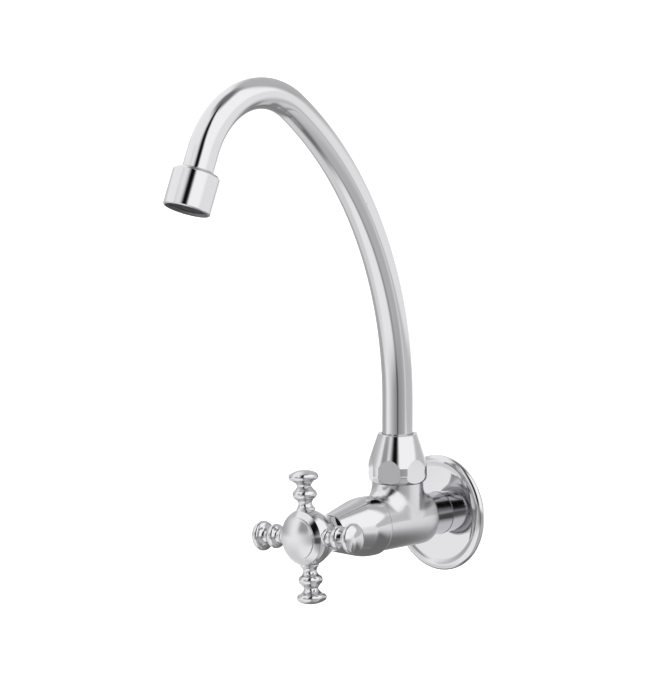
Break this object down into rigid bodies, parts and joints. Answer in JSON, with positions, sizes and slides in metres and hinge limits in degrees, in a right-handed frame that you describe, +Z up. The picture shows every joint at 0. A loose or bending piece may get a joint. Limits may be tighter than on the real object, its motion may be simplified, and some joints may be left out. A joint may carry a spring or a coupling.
{
  "type": "wall-mounted cold water tap",
  "caption": "Chromed wall-mounted cold water tap: screw-down valve with a cross handle, bell-shaped bonnet and hexagon nut, wall flange, and a tall bent swivel spout with an aerator.",
  "frame": {"origin": "where the inlet axis meets the wall plane, at the flange's back edge and the start of the inlet thread", "axes": "+Y along the inlet thread into the wall, +Z up, so the valve and handle point along -Y"},
  "size_m": [0.0686, 0.2172, 0.2703],
  "materials": {
    "body_chrome": "bright polished chrome plate on brass",
    "handle_chrome": "bright polished chrome plate on turned brass",
    "spout_chrome": "chrome plate over drawn tube, slightly softer than the castings",
    "brass": "plain turned brass",
    "rubber": "black moulded rubber",
    "fibre": "red vulcanised fibre, matt",
    "packing": "off-white packing, waxy",
    "nylon": "natural nylon, satin",
    "aerator_plastic": "dark grey moulded plastic",
    "steel": "plain stainless steel"
  },
  "bodies": {
    "tap_body": {"valve_body": "body_chrome", "wall_flange": "body_chrome", "bonnet": "body_chrome", "bonnet_washer": "fibre", "gland_packing": "packing", "gland_nut": "body_chrome", "spout_nut": "body_chrome", "spout_slip_washer": "nylon", "spout_thrust_washer": "nylon"},
    "valve": {"jumper_valve": "brass", "seat_washer": "rubber", "washer_nut": "brass"},
    "handle": {"spindle": "brass", "handle_hub": "handle_chrome", "handle_screw": "steel", "screw_washer": "steel", "handle_cap": "handle_chrome", "handle_arm_top": "handle_chrome", "handle_arm_right": "handle_chrome", "handle_arm_bottom": "handle_chrome", "handle_arm_left": "handle_chrome"},
    "spout": {"spout_tube": "spout_chrome", "spout_ferrule": "brass", "spout_o_ring_lower": "rubber", "spout_o_ring_upper": "rubber", "outlet_bush": "spout_chrome", "aerator_housing": "spout_chrome", "aerator_washer": "rubber", "aerator_body": "aerator_plastic", "aerator_screen": "steel"}
  },
  "joints": [
    {"name": "valve_lift", "type": "slide", "parent": "tap_body", "child": "valve", "axis": [0, -1, 0], "range_m": [0, 0.0045]},
    {"name": "handle_turn", "type": "hinge", "parent": "valve", "child": "handle", "pos_m": [0, -0.1027, 0], "axis": [0, -1, 0], "range_deg": [0, 900]},
    {"name": "spout_swivel", "type": "hinge", "parent": "tap_body", "child": "spout", "pos_m": [0, -0.0341, 0.028], "axis": [0, 0, 1], "range_deg": [-95, 95]}
  ],
  "couplings": [
    {"joint": "handle_turn", "follows": "valve_lift", "rad_per_m": 3490.7}
  ]
}
